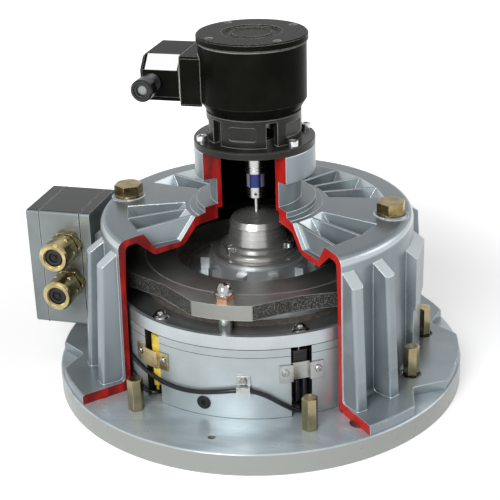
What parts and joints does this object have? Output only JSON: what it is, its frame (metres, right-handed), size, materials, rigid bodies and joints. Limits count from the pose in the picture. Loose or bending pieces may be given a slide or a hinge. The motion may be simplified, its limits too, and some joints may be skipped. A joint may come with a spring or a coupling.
{
  "type": "spring applied brake",
  "caption": "Cutaway spring applied disc brake: round flange, cast ribbed bell housing cut open, magnet body, rotor hub, encoder on top, terminal box at the side.",
  "frame": {"origin": "on the rotor's axis at the underside of the base flange, the centre of the mounting holes", "axes": "+Z along the rotor's axis towards the encoder, -Y through the middle of the cut, -X towards the terminal box"},
  "size_m": [0.4262, 0.4, 0.3449],
  "materials": {
    "base_paint": "satin",
    "housing_paint": "silver paint, red on the section faces",
    "seal_rubber": "matte",
    "olive_brass": "dull",
    "steel_screws": "bright",
    "yellow_brass": "turned",
    "magnet_steel": "fine turned",
    "coil_resin": "potted",
    "spring_steel": "plain",
    "black_plug": "blackened",
    "chrome_parts": "bright",
    "copper_nuts": "copper plated",
    "counter_steel": "ground faces, rough notches",
    "carrier_alloy": "turned",
    "lining": "pressed friction lining",
    "hub_steel": "turned",
    "blue_insert": "smooth",
    "code_glass": "clear, lined",
    "leg_cast": "dark, worn edges",
    "encoder_black": "gloss black",
    "gland_black": "ribbed",
    "plug_grey": "plain",
    "box_paint": "silver paint",
    "gasket": "matte",
    "gland_brass": "bright",
    "strip_cream": "moulded",
    "cable_black": "smooth jacket",
    "gold_zinc": "yellow passivated zinc",
    "bright_sheet": "bright sheet",
    "switch_yellow": "moulded",
    "switch_black": "moulded",
    "plunger_steel": "plain"
  },
  "bodies": {
    "frame": {"base_flange": "base_paint", "housing_cover": "housing_paint", "housing_seal": "seal_rubber", "foot_nuts": "olive_brass", "foot_studs": "steel_screws", "body_screws": "steel_screws", "encoder_flange_bolts": "steel_screws", "encoder_lid_screws": "steel_screws", "box_mount_screws": "steel_screws", "box_lid_screws": "steel_screws", "bracket_screws": "steel_screws", "access_plugs": "yellow_brass", "magnet_body": "magnet_steel", "pole_ring": "magnet_steel", "coil": "coil_resin", "brake_springs": "spring_steel", "side_plug": "black_plug", "clamp_studs": "chrome_parts", "guide_sleeves": "chrome_parts", "encoder_bearings": "chrome_parts", "clamp_nuts": "copper_nuts", "counter_plate": "counter_steel", "cable_clip": "carrier_alloy", "encoder_flange": "leg_cast", "encoder_body": "encoder_black", "encoder_lid": "encoder_black", "encoder_box_lid": "encoder_black", "encoder_gland": "gland_black", "encoder_gland_nut": "gland_black", "encoder_gland_plug": "plug_grey", "terminal_box": "box_paint", "box_lid": "box_paint", "box_plate": "box_paint", "box_gasket": "gasket", "box_lid_gasket": "gasket", "gland_seals": "gasket", "gland_bodies": "gland_brass", "gland_nuts": "gland_brass", "terminal_strip": "strip_cream", "cable": "cable_black", "short_lead": "cable_black", "bracket_left": "gold_zinc", "bracket_right": "bright_sheet", "switch_left": "switch_yellow", "switch_right": "switch_black"},
    "rotor": {"rotor_hub": "hub_steel", "hub_adapter": "carrier_alloy", "adapter_screws": "steel_screws", "drive_pin": "steel_screws", "coupling_lower": "chrome_parts", "coupling_insert": "blue_insert", "coupling_upper": "chrome_parts", "encoder_shaft": "chrome_parts", "code_disc": "code_glass"},
    "friction_disc": {"disc_carrier": "carrier_alloy", "friction_linings": "lining"},
    "armature": {"armature_plate": "magnet_steel", "armature_bolts": "chrome_parts"},
    "plunger_left": {"plunger_left": "plunger_steel"},
    "plunger_right": {"plunger_right": "plunger_steel"}
  },
  "joints": [
    {"name": "rotor_spin", "type": "hinge", "parent": "frame", "child": "rotor", "pos_m": [0, 0, 0.1], "axis": [0, 0, 1], "continuous": true},
    {"name": "armature_lift", "type": "slide", "parent": "frame", "child": "armature", "axis": [0, 0, 1], "range_m": [-0.0007, 0], "stiffness_N_per_m": 20000, "springref_m": 0.006, "deforming": ["brake_springs"]},
    {"name": "disc_float", "type": "slide", "parent": "rotor", "child": "friction_disc", "axis": [0, 0, 1], "range_m": [-0.00035, 0]},
    {"name": "plunger_left_slide", "type": "slide", "parent": "frame", "child": "plunger_left", "axis": [0, 0, 1], "range_m": [-0.0007, 0]},
    {"name": "plunger_right_slide", "type": "slide", "parent": "frame", "child": "plunger_right", "axis": [0, 0, 1], "range_m": [-0.0007, 0]}
  ],
  "couplings": [
    {"joint": "disc_float", "follows": "armature_lift", "ratio": 0.5},
    {"joint": "plunger_left_slide", "follows": "armature_lift", "ratio": 1},
    {"joint": "plunger_right_slide", "follows": "armature_lift", "ratio": 1}
  ]
}
